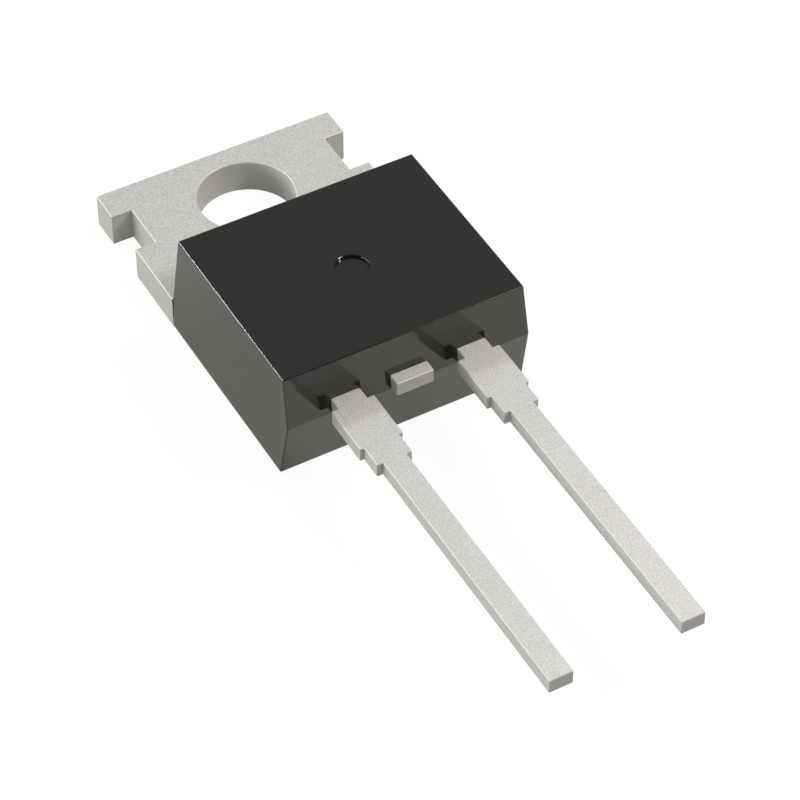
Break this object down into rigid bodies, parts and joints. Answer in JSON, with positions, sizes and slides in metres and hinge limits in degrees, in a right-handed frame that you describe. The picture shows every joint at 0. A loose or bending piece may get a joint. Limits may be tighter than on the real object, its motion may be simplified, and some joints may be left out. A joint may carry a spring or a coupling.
{
  "type": "power diode",
  "caption": "Through-hole power diode: a dark moulded block on a bare metal tab with a mounting hole, and flat stepped leads straight out of the block's front, for rectifying on a heat sink.",
  "frame": {"origin": "on the mounting hole's axis, in the plane of the bare metal back that lies on a heat sink", "axes": "+Z out of the back through the moulding's front face, +Y from the leads towards the tab's free end, +X to the anode lead's side"},
  "size_m": [0.01, 0.03, 0.0047],
  "materials": {
    "mould": "dark grey epoxy with a smooth, slightly soft gloss",
    "plated_metal": "matt tin plating with a very fine even grain",
    "silicon": "metallised silicon",
    "solder": "dull soft solder",
    "bond_wire": "bright drawn wire"
  },
  "bodies": {
    "root": {"mould_body": "mould", "tab_and_cathode_lead": "plated_metal", "anode_lead": "plated_metal", "diode_die": "silicon", "die_solder": "solder", "anode_wire_left": "bond_wire", "anode_wire_right": "bond_wire"}
  },
  "joints": []
}
